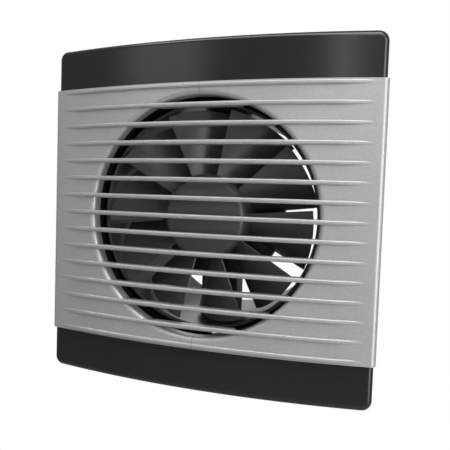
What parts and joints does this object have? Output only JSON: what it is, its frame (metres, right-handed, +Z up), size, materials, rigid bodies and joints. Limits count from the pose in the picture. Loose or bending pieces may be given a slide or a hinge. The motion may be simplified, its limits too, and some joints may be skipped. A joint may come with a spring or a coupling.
{
  "type": "bathroom extractor fan",
  "caption": "Wall extractor fan: dark bowed casing, silver barred grille, bladed impeller on a shaded-pole motor in a round duct spigot.",
  "frame": {"origin": "on the duct's axis, in the plane of the wall (back face of the base plate)", "axes": "+Y along the duct into the wall, +Z up, +X to the right as seen from the room; the grille faces -Y"},
  "size_m": [0.182, 0.094, 0.182],
  "materials": {
    "dark_plastic": "satin moulded, slightly glossy",
    "silver_plastic": "silver lacquer, satin with a fine metallic fleck",
    "housing_plastic": "moulded, semi-matt",
    "impeller_plastic": "smooth moulded",
    "brass": "turned",
    "shaft_steel": "ground",
    "lamination_steel": "stacked sheets with blued edges",
    "cast_aluminium": "as cast",
    "copper": "enamelled copper wire",
    "bare_copper": "bare copper",
    "bobbin_plastic": "natural nylon",
    "zinc_steel": "zinc-plated pressing",
    "bronze": "sintered, oily",
    "felt": "oiled wool felt",
    "fibre": "hard fibre",
    "screw_steel": "zinc-plated",
    "rubber": "matt",
    "lead_sleeve": "soft sleeve, blue",
    "block_plastic": "white polyamide",
    "fuse_shell": "ceramic-coloured shell"
  },
  "bodies": {
    "housing": {"base_plate": "housing_plastic", "duct": "housing_plastic", "motor_carrier": "housing_plastic", "stator_core": "lamination_steel", "shading_rings": "bare_copper", "coil_bobbins": "bobbin_plastic", "coil_windings": "copper", "front_end_bell": "zinc_steel", "rear_end_bell": "zinc_steel", "front_bush": "bronze", "rear_bush": "bronze", "oil_felts": "felt", "motor_screws": "screw_steel", "motor_nuts": "screw_steel", "motor_dampers": "rubber", "thermal_fuse": "fuse_shell", "motor_leads": "lead_sleeve", "terminal_block": "block_plastic", "terminal_tubes": "brass", "terminal_screws": "screw_steel", "terminal_block_screw": "screw_steel", "cable_grommet": "rubber", "cable_clamp": "block_plastic", "cable_clamp_screws": "screw_steel", "cover_screw": "screw_steel"},
    "rotor": {"impeller": "impeller_plastic", "hub_insert": "brass", "motor_shaft": "shaft_steel", "rotor_core": "lamination_steel", "rotor_cage": "cast_aluminium", "rotor_spacers": "brass", "thrust_washers": "fibre", "retaining_ring": "shaft_steel"},
    "cover": {"front_casing": "dark_plastic", "grille_panel": "silver_plastic"}
  },
  "joints": [
    {"name": "impeller_spin", "type": "hinge", "parent": "housing", "child": "rotor", "pos_m": [0, 0, 0], "axis": [0, -1, 0], "continuous": true},
    {"name": "cover_pull", "type": "slide", "parent": "housing", "child": "cover", "axis": [0, -1, 0], "range_m": [0, 0.06]}
  ]
}
